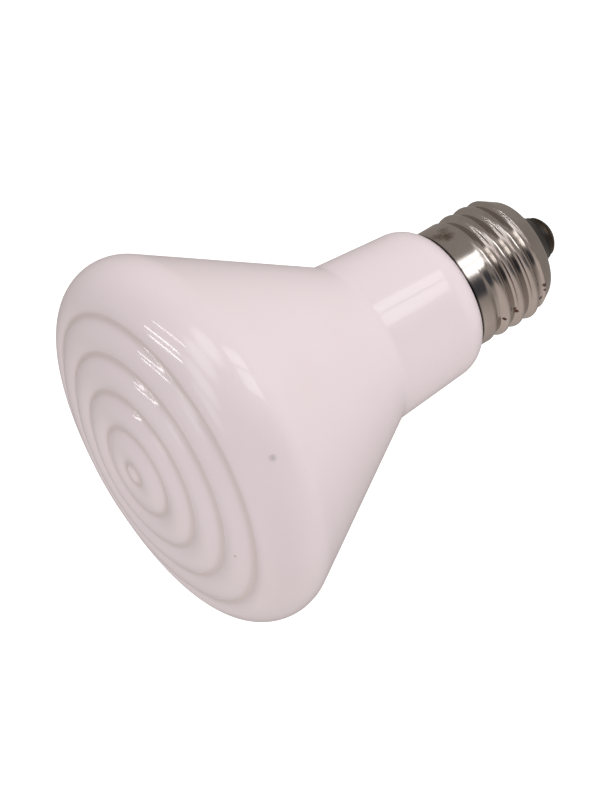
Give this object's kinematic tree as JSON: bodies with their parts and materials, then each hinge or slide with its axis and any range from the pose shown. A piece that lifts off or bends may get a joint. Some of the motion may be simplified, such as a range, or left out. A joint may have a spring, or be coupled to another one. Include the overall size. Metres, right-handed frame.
{
  "type": "ceramic heat emitter",
  "caption": "Mushroom-shaped glazed ceramic heat emitter with a domed, rippled face and an E27 screw cap.",
  "frame": {"origin": "tip of the cap's end contact, on the lamp's axis", "axes": "+Z along the lamp's axis from the cap's contact to the rippled face; +X is where a crest of the thread lies 18.6 mm over the origin"},
  "size_m": [0.08, 0.08, 0.1055],
  "materials": {
    "glaze": "gloss",
    "nickel": "bright nickel plate",
    "insulator": "gloss",
    "contact": "dull plate",
    "solder": "dull",
    "cement": "matte",
    "lead_wire": "drawn wire"
  },
  "bodies": {
    "root": {"ceramic_body": "glaze", "screw_shell": "nickel", "base_insulator": "insulator", "end_contact": "contact", "contact_solder": "solder", "cap_cement": "cement", "centre_lead": "lead_wire", "side_lead": "lead_wire"}
  },
  "joints": []
}
